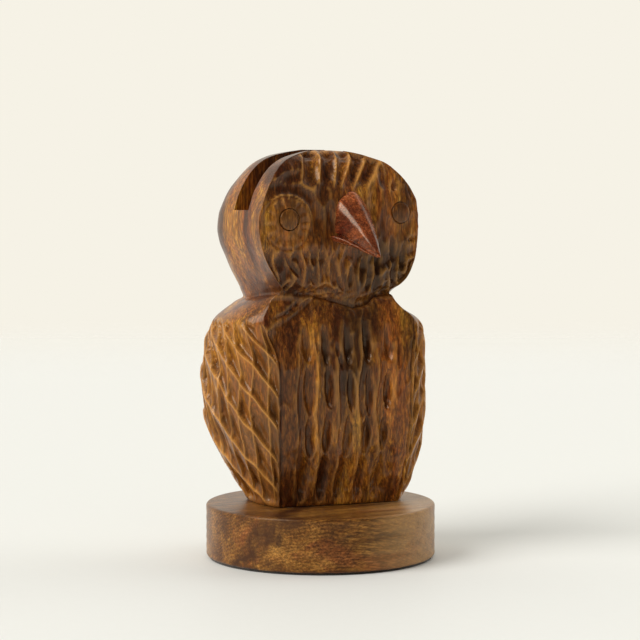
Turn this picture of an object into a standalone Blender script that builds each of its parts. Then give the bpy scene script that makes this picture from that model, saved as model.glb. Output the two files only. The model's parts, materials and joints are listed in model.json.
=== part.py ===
"""Carved owl stand for a pair of folded eyeglasses, on a round turned base.

The owl faces -Y, +Z is up and the origin is the centre of the underside.
"""
import math

import bmesh
import bpy
import numpy as np

MM = 0.001
GAP = 0.3 * MM
REACH = 60 * MM

# Base and pad
BASE_RADIUS = 42.3 * MM
BASE_TOP = 20.0 * MM
BASE_BOTTOM = 0.8 * MM
BASE_EASING = 0.9 * MM
PAD_RADIUS = 41.2 * MM
PAD_THICKNESS = 0.6 * MM

# Owl block
FOOT_Z = 20.3 * MM
BODY_TURN = math.radians(-11.0)
ROW_PITCH = 16.3 * MM
LEVEL_STEP = ROW_PITCH / 6
BODY_LEVELS = 26
HEAD_LEVELS = (97.5, 99.5, 102.0, 105.0, 108.5, 112.0, 116.0, 120.0, 124.0, 128.5,
               132.0, 136.0, 139.5, 142.5, 145.2, 147.2, 148.7, 149.6, 150.0)

# Shape stations, bottom to top, in mm:
# height, left arris, right arris, front face, left bulge, right bulge, widest depth, back
BODY_STATIONS = (
    (20.3, -19.5, 26.9, -10.8, -24.6, 32.0, 9.0, 27.0),
    (24.0, -20.0, 27.6, -12.0, -26.8, 35.4, 9.0, 29.5),
    (28.0, -20.5, 28.2, -13.2, -29.4, 37.7, 9.0, 31.5),
    (36.0, -21.2, 28.9, -15.2, -34.7, 40.4, 9.0, 34.0),
    (44.0, -21.8, 29.5, -17.0, -38.3, 41.6, 9.0, 35.6),
    (52.0, -22.1, 29.9, -18.1, -41.0, 42.5, 9.0, 36.4),
    (62.0, -22.2, 30.0, -18.7, -42.1, 42.5, 9.0, 36.6),
    (70.0, -22.4, 30.0, -18.8, -41.9, 42.2, 9.0, 36.2),
    (78.0, -23.8, 30.8, -18.1, -40.9, 41.8, 9.0, 35.2),
    (84.0, -26.0, 31.8, -17.0, -39.0, 41.1, 9.0, 33.8),
    (88.0, -26.6, 30.2, -16.0, -36.6, 38.2, 9.0, 32.2),
    (91.0, -25.2, 26.2, -15.0, -33.2, 32.0, 9.0, 30.4),
    (94.0, -23.2, 23.4, -13.8, -29.0, 28.6, 9.0, 28.4),
)
HEAD_STATIONS = (
    (96.2, -22.4, 22.4, -13.0, -25.2, 27.6, 9.0, 26.0),
    (99.0, -25.0, 25.6, -15.0, -25.8, 29.2, 9.5, 27.4),
    (102.0, -27.2, 28.2, -15.8, -27.1, 30.8, 9.5, 28.6),
    (106.0, -29.6, 30.0, -16.3, -29.1, 31.6, 9.5, 30.2),
    (111.0, -31.9, 31.8, -16.3, -31.2, 33.2, 9.5, 31.6),
    (116.0, -33.5, 32.6, -16.2, -33.2, 34.0, 9.5, 32.6),
    (121.0, -34.2, 33.0, -16.0, -34.2, 34.2, 9.5, 33.0),
    (126.0, -34.0, 33.0, -16.0, -34.0, 34.0, 9.0, 32.2),
    (131.0, -32.4, 32.4, -15.9, -32.8, 33.2, 8.0, 30.2),
    (135.0, -30.6, 30.6, -15.4, -31.2, 31.2, 7.0, 28.0),
    (139.0, -28.2, 27.8, -14.6, -28.8, 28.4, 6.0, 25.0),
    (142.5, -25.4, 24.4, -13.6, -26.0, 25.0, 5.0, 22.4),
    (145.5, -21.8, 20.4, -12.4, -22.4, 21.0, 4.6, 19.4),
    (147.5, -17.6, 14.0, -11.0, -18.2, 14.6, 4.4, 16.6),
    (149.0, -11.4, 8.6, -8.8, -12.0, 9.2, 4.2, 13.4),
    (150.0, -4.6, 3.4, -4.2, -5.2, 4.0, 4.0, 9.6),
)

# Chiselled relief
COLUMN_COUNT = 5
COLUMN_START = 0.102
COLUMN_PITCH = 0.15
GOUGE_STEPS = 4
GOUGE_ROWS = 4
GOUGE_DEPTH = 1.7 * MM
GOUGE_BLUNTNESS = 0.6
GOUGE_NECK = 0.45
CHEST_TOP = 95.0 * MM
CREST_FOOT = 137.0 * MM
CREST_FADE = 4.0 * MM
CREST_DEPTH = 1.3 * MM
CREST_CENTRE = (2.0 * MM, 127.0 * MM)
CREST_PITCH = math.radians(19.0)
CHEEK_LOW = 98.0 * MM
CHEEK_HIGH = 114.0 * MM
CHEEK_DEPTH = 1.4 * MM
FACE_BOW = 0.7 * MM
SCALE_LOW = 23.0 * MM
SCALE_HIGH = 87.0 * MM
SCALE_DEPTH = 1.4 * MM
SCALE_STEPS = 4
WING_COLUMNS = 20
WING_SHARE = 0.62
BACK_POINTS = 4
ARRIS_LEAN = 0.33
BACK_SQUARENESS = 2.5
OWL_CREASE = 20.0
BEAK_CREASE = 25.0

# Slot for the folded temples
SLOT_FRONT = -6.0 * MM
SLOT_BACK = 4.4 * MM
SLOT_FLOOR = 128.0 * MM
SLOT_OPEN = 160.0 * MM

# Eyes
EYE_RADIUS = 3.75 * MM
EYE_DEPTH = 7.0 * MM
EYE_LEFT = (-22.2 * MM, 124.7 * MM)
EYE_RIGHT = (25.0 * MM, 126.9 * MM)
EYE_EASING = 0.5 * MM
EYE_PROUD = 0.1 * MM
EYE_DISC_RADIUS = 9.4 * MM
EYE_DISC_GROOVE = 0.9 * MM
EYE_DISC_SINK = 0.1 * MM

# Beak
FACE_Y = -16.0 * MM
CUT_AHEAD = 6.0 * MM
BEAK_SECTIONS = (0.0, 0.25, 0.5, 0.75, 0.93, 1.0)
BEAK_TAPER = 0.8
BEAK_BLUNTNESS = 0.03
BEAK_DROOP = 1.25
BEAK_X = 3.7 * MM
BEAK_TIP = (4.8 * MM, -32.6 * MM, 111.6 * MM)
BEAK_ROOT = ((4.2, 134.4), (-2.5, 130.2), (-3.0, 120.0), (-5.2, 118.6), (4.2, 115.2),
             (11.4, 118.6), (9.6, 129.2))
BEAK_PEG_RADIUS = 3.0 * MM
BEAK_PEG_LENGTH = 7.0 * MM
BEAK_PEG_OVERLAP = 2.0 * MM
BEAK_PEG_Z = 123.6 * MM

# Screws
SCREW_X = 13.0 * MM
SCREW_Y = 8.0 * MM
SCREW_RADIUS = 2.0 * MM
SCREW_CORE = 1.4 * MM
SCREW_HEAD_RADIUS = 3.9 * MM
SCREW_HEAD_HEIGHT = 2.6 * MM
SCREW_RIM = 0.4 * MM
SCREW_BOTTOM = 1.6 * MM
SCREW_TOP = 41.0 * MM
SCREW_POINT = 0.25 * MM
PILOT_CONE = 2.5 * MM
THREAD_START = 22.0 * MM
THREAD_PITCH = 2.1 * MM
THREAD_FLANK = 0.35


def clear_objects():
    for item in list(bpy.data.objects):
        bpy.data.objects.remove(item, do_unlink=True)


def new_collection(name):
    collection = bpy.data.collections.new(name)
    bpy.context.scene.collection.children.link(collection)
    return collection


def make_material(name, colour, roughness, metallic=0.0):
    material = bpy.data.materials.new(name)
    material.use_nodes = True
    shader = material.node_tree.nodes["Principled BSDF"]
    shader.inputs["Base Color"].default_value = (*colour, 1.0)
    shader.inputs["Roughness"].default_value = roughness
    shader.inputs["Metallic"].default_value = metallic
    material.diffuse_color = (*colour, 1.0)
    return material


def object_from_bmesh(name, mesh_builder, collection):
    mesh = bpy.data.meshes.new(name)
    bmesh.ops.recalc_face_normals(mesh_builder, faces=mesh_builder.faces)
    mesh_builder.to_mesh(mesh)
    mesh_builder.free()
    item = bpy.data.objects.new(name, mesh)
    collection.objects.link(item)
    return item


def loft(name, loops, collection):
    """Skin a stack of closed loops that all have the same number of points."""
    builder = bmesh.new()
    rings = [[builder.verts.new(point) for point in loop] for loop in loops]
    count = len(rings[0])
    for lower, upper in zip(rings, rings[1:]):
        for i in range(count):
            j = (i + 1) % count
            for triangle in split_outward(lower[i], lower[j], upper[j], upper[i]):
                builder.faces.new(triangle)
    builder.faces.new(rings[0])
    builder.faces.new(rings[-1])
    return object_from_bmesh(name, builder, collection)


def split_outward(a, b, c, d):
    """Split a quad along the diagonal that stands further out, so ridges stay crisp."""
    outward = (c.co - a.co).cross(d.co - b.co)
    if ((a.co + c.co) - (b.co + d.co)).dot(outward) > 0:
        return (a, b, c), (a, c, d)
    return (a, b, d), (b, c, d)


def turned(name, profile, segments, collection):
    """Revolve (radius, height) pairs, listed down the outer side, about Z."""
    points = [(0.0, 0.0, profile[0][1])]
    points += [(radius, 0.0, height) for radius, height in profile]
    points.append((0.0, 0.0, profile[-1][1]))
    edges = [(i, i + 1) for i in range(len(points) - 1)]
    mesh = bpy.data.meshes.new(name)
    mesh.from_pydata(points, edges, [])
    item = bpy.data.objects.new(name, mesh)
    collection.objects.link(item)
    screw = item.modifiers.new("turn", "SCREW")
    screw.axis = "Z"
    screw.steps = segments
    screw.render_steps = segments
    screw.use_merge_vertices = True
    screw.merge_threshold = 0.01 * MM
    return item


def cylinder(name, radius, low, high, segments, collection):
    """Upright cylinder between two heights."""
    bpy.ops.mesh.primitive_cylinder_add(vertices=segments, radius=radius, depth=high - low,
                                        location=(0.0, 0.0, (low + high) / 2))
    item = bpy.context.object
    item.name = name
    bpy.ops.object.transform_apply(location=True, rotation=False, scale=False)
    move_to(item, collection)
    return item


def lay_along_y(item, x, z):
    """Turn an upright piece so that its heights run back along +Y."""
    item.rotation_euler = (-math.pi / 2, 0.0, 0.0)
    item.location = (x, 0.0, z)
    return item


def ease_edges(item, width, segments=3):
    bevel = item.modifiers.new("easing", "BEVEL")
    bevel.width = width
    bevel.segments = segments
    bevel.limit_method = "ANGLE"
    bevel.angle_limit = math.radians(40)


def smooth(item, angle=35.0):
    for polygon in item.data.polygons:
        polygon.use_smooth = True
    item.data.set_sharp_from_angle(angle=math.radians(angle))


def cut(target, cutter):
    cutter.hide_render = True
    cutter.display_type = "WIRE"
    modifier = target.modifiers.new("cut_" + cutter.name, "BOOLEAN")
    modifier.operation = "DIFFERENCE"
    modifier.solver = "EXACT"
    modifier.object = cutter


def box_cutter(name, low, high, collection):
    centre = [(a + b) / 2 for a, b in zip(low, high)]
    size = [b - a for a, b in zip(low, high)]
    bpy.ops.mesh.primitive_cube_add(size=1.0, location=centre)
    item = bpy.context.object
    item.name = name
    item.scale = size
    bpy.ops.object.transform_apply(location=False, rotation=False, scale=True)
    move_to(item, collection)
    return item


def move_to(item, collection):
    for owner in list(item.users_collection):
        owner.objects.unlink(item)
    collection.objects.link(item)


def stations_at(height):
    """Section parameters in metres at a height in metres."""
    table = np.array(BODY_STATIONS + HEAD_STATIONS)
    return [float(np.interp(height / MM, table[:, 0], table[:, k])) * MM for k in range(1, 8)]


def turn_at(height):
    return float(np.interp(height / MM, (93.0, 98.0), (BODY_TURN, 0.0)))


def side_path(corner, bulge, widest_y, centre_x, back_y):
    """Dense half outline from a front arris round to the middle of the back."""
    start = np.array(corner)
    end = np.array((bulge, widest_y))
    control = np.array((bulge, corner[1] + ARRIS_LEAN * (widest_y - corner[1])))
    points = []
    for t in np.linspace(0.0, 1.0, 24, endpoint=False):
        points.append((1 - t) ** 2 * start + 2 * t * (1 - t) * control + t ** 2 * end)
    power = 2.0 / BACK_SQUARENESS
    for angle in np.linspace(0.0, math.pi / 2, 30):
        x = centre_x + (bulge - centre_x) * max(math.cos(angle), 0.0) ** power
        y = widest_y + (back_y - widest_y) * math.sin(angle) ** power
        points.append(np.array((x, y)))
    return np.array(points)


def resample(path, fractions):
    steps = np.linalg.norm(np.diff(path, axis=0), axis=1)
    along = np.concatenate(((0.0,), np.cumsum(steps)))
    along /= along[-1]
    return [(float(np.interp(f, along, path[:, 0])), float(np.interp(f, along, path[:, 1])))
            for f in fractions]


def front_fractions():
    """Positions across the front: plain margins, then even steps in each gouge."""
    steps = [0.0, COLUMN_START / 2]
    for i in range(COLUMN_COUNT * GOUGE_STEPS + 1):
        steps.append(COLUMN_START + COLUMN_PITCH * i / GOUGE_STEPS)
    last = steps[-1]
    steps.append((last + 1.0) / 2)
    steps.append(1.0)
    return steps


def gouge_profile(fraction, width_share):
    """Depth share of a round gouge across its column."""
    place = (fraction - COLUMN_START) / COLUMN_PITCH
    if place < 0 or place > COLUMN_COUNT:
        return 0.0
    offset = abs((place % 1.0) - 0.5) * 2 / max(width_share, 0.05)
    return max(0.0, 1.0 - offset * offset)


def chest_relief(fraction, height):
    """Rows of leaf-shaped gouges down the breast."""
    place = (fraction - COLUMN_START) / COLUMN_PITCH
    column = int(place)
    start = FOOT_Z + (column % 2) * LEVEL_STEP
    row = (height - start) / ROW_PITCH
    if row < 0 or row > GOUGE_ROWS:
        return 0.0
    leaf = math.sin(math.pi * (row % 1.0)) ** GOUGE_BLUNTNESS
    return GOUGE_DEPTH * leaf * gouge_profile(fraction, GOUGE_NECK + (1.0 - GOUGE_NECK) * leaf)


def head_front_relief(fraction, x, height):
    """Flutes fanning over the brow and short gouges under the cheeks."""
    if height > CREST_FOOT:
        share = min(1.0, (height - CREST_FOOT) / CREST_FADE)
        fan = math.atan2(x - CREST_CENTRE[0], height - CREST_CENTRE[1]) / CREST_PITCH
        return CREST_DEPTH * share * (1.0 - (2 * (fan % 1.0) - 1.0) ** 2)
    if height < CHEEK_HIGH:
        share = math.sin(math.pi * (height - CHEEK_LOW) / (CHEEK_HIGH - CHEEK_LOW))
        return CHEEK_DEPTH * max(share, 0.0) * gouge_profile(fraction, 1.0)
    return 0.0


def wing_relief(column, level, height):
    """Sunken cells between the crossing ridges of the wing feathers."""
    if height < SCALE_LOW or height > SCALE_HIGH:
        return 0.0
    on_upright = column % SCALE_STEPS == 0
    on_slant = (level - column) % SCALE_STEPS == 0
    return 0.0 if on_upright or on_slant else SCALE_DEPTH


def section_loop(height, level):
    """One closed, relief-carved outline of the owl block, as 3-D points."""
    left, right, front, bulge_left, bulge_right, widest, back = stations_at(height)
    is_body = height < CHEST_TOP
    fractions = front_fractions()
    points = []
    reliefs = []
    for f in fractions:
        bow = FACE_BOW * (2 * f - 1) ** 2
        x = left + f * (right - left)
        points.append((x, front + bow))
        reliefs.append(chest_relief(f, height) if is_body else head_front_relief(f, x, height))
    centre_x = (bulge_left + bulge_right) / 2
    wing_steps = [WING_SHARE * i / WING_COLUMNS for i in range(1, WING_COLUMNS + 1)]
    rest = (1.0 - WING_SHARE) / BACK_POINTS
    back_steps = [WING_SHARE + rest * i for i in range(1, BACK_POINTS + 1)]
    half_steps = wing_steps + back_steps
    right_side = resample(side_path(points[-1], bulge_right, widest, centre_x, back), half_steps)
    left_side = resample(side_path(points[0], bulge_left, widest, centre_x, back), half_steps)
    side_reliefs = [wing_relief(i, level, height) if i < WING_COLUMNS else 0.0
                    for i in range(1, len(half_steps) + 1)]
    points += right_side + left_side[-2::-1]
    reliefs += side_reliefs + side_reliefs[-2::-1]
    return place_loop(np.array(points), np.array(reliefs), height)


def place_loop(outline, reliefs, height):
    """Sink each point by its relief along the outline's normal, then turn the section."""
    along = np.roll(outline, -1, axis=0) - np.roll(outline, 1, axis=0)
    along /= np.linalg.norm(along, axis=1)[:, None]
    inward = np.column_stack((-along[:, 1], along[:, 0]))
    sunk = outline + inward * reliefs[:, None]
    angle = turn_at(height)
    cos_a, sin_a = math.cos(angle), math.sin(angle)
    return [(x * cos_a - y * sin_a, x * sin_a + y * cos_a, height) for x, y in sunk]


def build_owl(parts, cutters, material):
    heights = [FOOT_Z + LEVEL_STEP * i for i in range(BODY_LEVELS + 1)]
    heights += [z * MM for z in HEAD_LEVELS if z * MM > heights[-1] + 0.5 * MM]
    owl = loft("owl_carving", [section_loop(h, i) for i, h in enumerate(heights)], parts)
    owl.data.materials.append(material)
    cut(owl, box_cutter("slot_cutter", (-REACH, SLOT_FRONT, SLOT_FLOOR),
                        (REACH, SLOT_BACK, SLOT_OPEN), cutters))
    cut(owl, face_hole("eye_socket_left", EYE_RADIUS, EYE_DEPTH, EYE_LEFT, cutters))
    cut(owl, face_hole("eye_socket_right", EYE_RADIUS, EYE_DEPTH, EYE_RIGHT, cutters))
    cut(owl, face_hole("beak_hole", BEAK_PEG_RADIUS, BEAK_PEG_LENGTH, (BEAK_X, BEAK_PEG_Z), cutters))
    cut(owl, eye_disc_groove(cutters))
    bore = SCREW_RADIUS + GAP
    for side, sign in (("left", -1), ("right", 1)):
        profile = ((SCREW_POINT, SCREW_TOP + PILOT_CONE), (bore, SCREW_TOP), (bore, FOOT_Z / 2))
        pilot = turned("pilot_" + side, profile, 20, cutters)
        pilot.location = (sign * SCREW_X, SCREW_Y, 0)
        cut(owl, pilot)
    return owl


def face_hole(name, radius, depth, place, cutters):
    """Round hole into the face, with clearance round and behind what it takes."""
    hole = cylinder(name, radius + GAP, FACE_Y - CUT_AHEAD, FACE_Y + depth + GAP, 32, cutters)
    return lay_along_y(hole, *place)


def eye_disc_groove(cutters):
    """Ring that stands the carved disc round the left eye off the face."""
    bpy.ops.mesh.primitive_torus_add(
        major_segments=32, minor_segments=8,
        major_radius=EYE_DISC_RADIUS, minor_radius=EYE_DISC_GROOVE,
        location=(EYE_LEFT[0], FACE_Y + EYE_DISC_SINK, EYE_LEFT[1]), rotation=(math.pi / 2, 0, 0))
    ring = bpy.context.object
    ring.name = "eye_disc_groove"
    move_to(ring, cutters)
    return ring


def build_eye(name, place, parts, material):
    plug = cylinder(name, EYE_RADIUS, FACE_Y - EYE_PROUD, FACE_Y + EYE_DEPTH, 32, parts)
    lay_along_y(plug, *place)
    ease_edges(plug, EYE_EASING)
    plug.data.materials.append(material)
    return plug


def build_beak(parts, material):
    """Hooked wedge: its root outline shrinks along a drooping line to the tip."""
    loops = []
    for t in BEAK_SECTIONS:
        shrink = (1.0 - t) ** BEAK_TAPER + BEAK_BLUNTNESS
        droop = t ** BEAK_DROOP
        y = FACE_Y - GAP + (BEAK_TIP[1] - FACE_Y) * t
        loop = []
        for rx, rz in BEAK_ROOT:
            x = BEAK_X + (rx * MM - BEAK_X) * shrink + (BEAK_TIP[0] - BEAK_X) * t
            z = BEAK_PEG_Z + (rz * MM - BEAK_PEG_Z) * shrink + (BEAK_TIP[2] - BEAK_PEG_Z) * droop
            loop.append((x, y, z))
        loops.append(loop)
    beak = loft("beak_peg", loops, parts)
    peg = cylinder("beak_tenon", BEAK_PEG_RADIUS, FACE_Y - BEAK_PEG_OVERLAP,
                   FACE_Y + BEAK_PEG_LENGTH, 24, parts)
    lay_along_y(peg, BEAK_X, BEAK_PEG_Z)
    join = beak.modifiers.new("tenon", "BOOLEAN")
    join.operation = "UNION"
    join.solver = "EXACT"
    join.object = peg
    beak.data.materials.append(material)
    return beak, peg


def build_base(parts, cutters, material):
    base = turned("base_plinth", ((BASE_RADIUS, BASE_TOP), (BASE_RADIUS, BASE_BOTTOM)), 96, parts)
    ease_edges(base, BASE_EASING)
    base.data.materials.append(material)
    bore = SCREW_RADIUS + GAP
    head = SCREW_HEAD_RADIUS + GAP
    seat = SCREW_BOTTOM + SCREW_RIM
    profile = ((bore, BASE_TOP + SCREW_HEAD_HEIGHT), (bore, seat + SCREW_HEAD_HEIGHT),
               (head, seat), (head, -SCREW_HEAD_HEIGHT))
    for side, sign in (("left", -1), ("right", 1)):
        hole = turned("screw_hole_" + side, profile, 24, cutters)
        hole.location = (sign * SCREW_X, SCREW_Y, 0)
        cut(base, hole)
    return base


def build_pad(parts, material):
    pad = cylinder("felt_pad", PAD_RADIUS, 0.0, PAD_THICKNESS, 72, parts)
    pad.data.materials.append(material)
    return pad


def build_screw(name, x, parts, material):
    """Countersunk wood screw, point up, with rings in place of its thread."""
    profile = [(SCREW_HEAD_RADIUS, SCREW_BOTTOM), (SCREW_HEAD_RADIUS, SCREW_BOTTOM + SCREW_RIM),
               (SCREW_RADIUS, SCREW_BOTTOM + SCREW_HEAD_HEIGHT), (SCREW_RADIUS, THREAD_START)]
    height = THREAD_START
    while height < SCREW_TOP - 1.5 * THREAD_PITCH:
        profile.append((SCREW_CORE, height + THREAD_FLANK * THREAD_PITCH))
        profile.append((SCREW_RADIUS, height + THREAD_PITCH))
        height += THREAD_PITCH
    profile.append((SCREW_CORE, height + THREAD_FLANK * THREAD_PITCH))
    profile.append((SCREW_POINT, SCREW_TOP))
    screw = turned(name, profile[::-1], 16, parts)
    screw.location = (x, SCREW_Y, 0)
    screw.data.materials.append(material)
    return screw


def bake_modifiers(item):
    depsgraph = bpy.context.evaluated_depsgraph_get()
    mesh = bpy.data.meshes.new_from_object(item.evaluated_get(depsgraph))
    item.modifiers.clear()
    item.data = mesh


def main():
    clear_objects()
    parts = new_collection("owl_eyeglasses_stand")
    cutters = new_collection("cutters")
    body_wood = make_material("body_wood", (0.30, 0.135, 0.045), 0.42)
    beak_wood = make_material("beak_wood", (0.33, 0.085, 0.03), 0.30)
    plug_wood = make_material("plug_wood", (0.24, 0.11, 0.04), 0.45)
    base_wood = make_material("base_wood", (0.26, 0.115, 0.045), 0.38)
    felt = make_material("felt", (0.05, 0.05, 0.045), 0.95)
    steel = make_material("screw_steel", (0.55, 0.53, 0.48), 0.35, 1.0)

    owl = build_owl(parts, cutters, body_wood)
    beak, peg = build_beak(parts, beak_wood)
    round_pieces = [
        build_eye("eye_plug_left", EYE_LEFT, parts, plug_wood),
        build_eye("eye_plug_right", EYE_RIGHT, parts, plug_wood),
        build_base(parts, cutters, base_wood),
        build_pad(parts, felt),
        build_screw("fixing_screw_left", -SCREW_X, parts, steel),
        build_screw("fixing_screw_right", SCREW_X, parts, steel)]
    bpy.context.view_layer.update()
    for item in round_pieces:
        bake_modifiers(item)
        smooth(item)
    bake_modifiers(beak)
    bpy.data.objects.remove(peg, do_unlink=True)
    smooth(beak, BEAK_CREASE)
    bake_modifiers(owl)
    smooth(owl, OWL_CREASE)


main()
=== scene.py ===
import json
import math

import bmesh
import bpy
import numpy as np
from mathutils import Matrix, Vector, kdtree, noise


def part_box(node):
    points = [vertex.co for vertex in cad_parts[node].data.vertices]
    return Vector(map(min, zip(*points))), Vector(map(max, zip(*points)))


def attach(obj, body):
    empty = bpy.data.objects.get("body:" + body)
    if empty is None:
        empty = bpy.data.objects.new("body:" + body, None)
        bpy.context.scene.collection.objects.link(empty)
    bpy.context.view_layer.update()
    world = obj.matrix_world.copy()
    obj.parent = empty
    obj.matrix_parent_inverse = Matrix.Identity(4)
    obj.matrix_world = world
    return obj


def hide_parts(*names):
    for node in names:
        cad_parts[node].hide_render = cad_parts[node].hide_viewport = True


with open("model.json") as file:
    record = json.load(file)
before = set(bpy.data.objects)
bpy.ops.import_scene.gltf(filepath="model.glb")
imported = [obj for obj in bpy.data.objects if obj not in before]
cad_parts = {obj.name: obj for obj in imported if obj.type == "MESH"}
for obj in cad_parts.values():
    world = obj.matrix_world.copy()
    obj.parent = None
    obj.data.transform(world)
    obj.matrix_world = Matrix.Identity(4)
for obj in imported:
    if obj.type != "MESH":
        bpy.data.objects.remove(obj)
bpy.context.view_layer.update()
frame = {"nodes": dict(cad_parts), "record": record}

MM = 0.001

# ---- shape of the owl block
# height, left arris, right arris, front face, left bulge, right bulge, widest depth, back
STATIONS = np.array((
    (20.3, -19.5, 26.9, -10.8, -24.6, 32.0, 9.0, 27.0),
    (24.0, -20.0, 27.6, -12.0, -26.8, 35.4, 9.0, 29.5),
    (28.0, -20.5, 28.2, -13.2, -29.4, 37.7, 9.0, 31.5),
    (36.0, -21.2, 28.9, -15.2, -34.7, 40.4, 9.0, 34.0),
    (44.0, -21.8, 29.5, -17.0, -38.3, 41.6, 9.0, 35.6),
    (52.0, -22.1, 29.9, -18.1, -41.0, 42.5, 9.0, 36.4),
    (62.0, -22.2, 30.0, -18.7, -42.1, 42.5, 9.0, 36.6),
    (70.0, -22.4, 30.0, -18.8, -41.9, 42.2, 9.0, 36.2),
    (78.0, -23.8, 30.8, -18.1, -40.9, 41.8, 9.0, 35.2),
    (84.0, -26.0, 31.8, -17.0, -39.0, 41.1, 9.0, 33.8),
    (88.0, -26.6, 30.2, -16.0, -36.6, 38.2, 9.0, 32.2),
    (91.0, -25.2, 26.2, -15.0, -33.2, 32.0, 9.0, 30.4),
    (94.0, -23.2, 23.4, -13.8, -29.0, 28.6, 9.0, 28.4),
    (96.2, -22.4, 22.4, -13.0, -25.2, 27.6, 9.0, 26.0),
    (99.0, -25.0, 25.6, -15.0, -25.8, 29.2, 9.5, 27.4),
    (102.0, -27.2, 28.2, -15.8, -27.1, 30.8, 9.5, 28.6),
    (106.0, -29.6, 30.0, -16.3, -29.1, 31.6, 9.5, 30.2),
    (111.0, -31.9, 31.8, -16.3, -31.2, 33.2, 9.5, 31.6),
    (116.0, -33.5, 32.6, -16.2, -33.2, 34.0, 9.5, 32.6),
    (121.0, -34.2, 33.0, -16.0, -34.2, 34.2, 9.5, 33.0),
    (126.0, -34.0, 33.0, -16.0, -34.0, 34.0, 9.0, 32.2),
    (131.0, -32.4, 32.4, -15.9, -32.8, 33.2, 8.0, 30.2),
    (135.0, -30.6, 30.6, -15.4, -31.2, 31.2, 7.0, 28.0),
    (139.0, -28.2, 27.8, -14.6, -28.8, 28.4, 6.0, 25.0),
    (142.5, -25.4, 24.4, -13.6, -26.0, 25.0, 5.0, 22.4),
    (145.5, -21.8, 20.4, -12.4, -22.4, 21.0, 4.6, 19.4),
    (147.5, -17.6, 14.0, -11.0, -18.2, 14.6, 4.4, 16.6),
    (149.0, -11.4, 8.6, -8.8, -12.0, 9.2, 4.2, 13.4),
    (150.0, -4.6, 3.4, -4.2, -5.2, 4.0, 4.0, 9.6)))
BODY_TURN = math.radians(-11.0)
TURN_ZONE = (93.0, 98.0)
ARRIS_LEAN = 0.33
BACK_SQUARENESS = 2.5
FACE_BOW = 0.7

FOOT_Z = 20.3
TOP_Z = 150.0
CLEARANCE = 0.3
PLUG_GAP = 0.34

# neck crease: x and height along the front, and how far round each side it levels out
NECK_Z = 95.6
NECK_REACH = 15.0
NECK_PULL = 1.3
NECK_FRONT = ((-22.4, 98.4), (-16.8, 98.0), (-9.7, 97.1), (-3.0, 95.4), (2.4, 93.9), (6.0, 92.8),
              (10.5, 93.9), (13.0, 96.6), (20.4, 97.8))
NECK_SHARE_LEFT = 0.35
NECK_SHARE_RIGHT = 0.14
NECK_SMOOTHING = 9

# grid of the carved block
FRONT_POINTS = 112
SIDE_POINTS = 152
FINE_ARC = 0.46
BACK_WIDENING = 0.95
WING_SHARE = 0.62
ROW_STEP = 0.62
NECK_ROWS = (87.5, 100.0)
NECK_ROW_STEP = 0.45
CROWN_Z = 138.0
CROWN_ROW_STEP = 0.50
CROWN_EASE = 0.34


def unit(value):
    return np.clip(value, 0.0, 1.0)


def step01(x, low, high):
    """Smooth step from 0 at low to 1 at high."""
    t = unit((x - low) / (high - low))
    return t * t * (3 - 2 * t)


def fade(x, low, high):
    """Smooth step from 1 at low to 0 at high."""
    return 1 - step01(x, low, high)


def smooth_table(x, table, column):
    """Monotone cubic reading of one column of a table, so the outline has no facets."""
    xs, ys = table[:, 0], table[:, column]
    steps = np.diff(xs)
    slopes = np.diff(ys) / steps
    inner = np.where(slopes[:-1] * slopes[1:] > 0,
                     2 * slopes[:-1] * slopes[1:] / (slopes[:-1] + slopes[1:] + 1e-12), 0.0)
    tangents = np.concatenate(((slopes[0],), inner, (slopes[-1],)))
    k = np.clip(np.searchsorted(xs, x) - 1, 0, len(steps) - 1)
    t = unit((x - xs[k]) / steps[k])
    return ((2 * t ** 3 - 3 * t ** 2 + 1) * ys[k] + (t ** 3 - 2 * t ** 2 + t) * steps[k] * tangents[k]
            + (3 * t ** 2 - 2 * t ** 3) * ys[k + 1] + (t ** 3 - t ** 2) * steps[k] * tangents[k + 1])


def side_path(corner, bulge, widest_y, centre_x, back_y):
    """Dense half outline from a front arris round to the middle of the back."""
    t = np.linspace(0.0, 1.0, 60, endpoint=False)[:, None]
    start, end = np.array(corner), np.array((bulge, widest_y))
    control = np.array((bulge, corner[1] + ARRIS_LEAN * (widest_y - corner[1])))
    front = (1 - t) ** 2 * start + 2 * t * (1 - t) * control + t ** 2 * end
    angle = np.linspace(0.0, math.pi / 2, 90)
    power = 2.0 / BACK_SQUARENESS
    x = centre_x + (bulge - centre_x) * np.maximum(np.cos(angle), 0.0) ** power
    y = widest_y + (back_y - widest_y) * np.sin(angle) ** power
    path = np.vstack((front, np.column_stack((x, y))))
    arc = np.concatenate(((0.0,), np.cumsum(np.linalg.norm(np.diff(path, axis=0), axis=1))))
    return path, arc


def level_heights():
    """Grid heights: close together where the carving is fine."""
    heights = [FOOT_Z]
    while heights[-1] < TOP_Z:
        z = heights[-1]
        step = ROW_STEP
        if NECK_ROWS[0] < z < NECK_ROWS[1]:
            step = NECK_ROW_STEP
        if z > CROWN_Z:
            step = CROWN_ROW_STEP - CROWN_EASE * (z - CROWN_Z) / (TOP_Z - CROWN_Z)
        heights.append(min(z + step, TOP_Z))
    return np.array(heights)


def side_shares():
    """Shares of the side path: even over the wing, wider apart round the back."""
    gaps = FINE_ARC + BACK_WIDENING * step01(np.linspace(0, 1, SIDE_POINTS), WING_SHARE, 1.0)
    shares = np.cumsum(gaps)
    return shares / shares[-1]


HEIGHTS = level_heights()
SHARES = side_shares()
ACROSS = np.linspace(0.0, 1.0, FRONT_POINTS)


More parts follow.
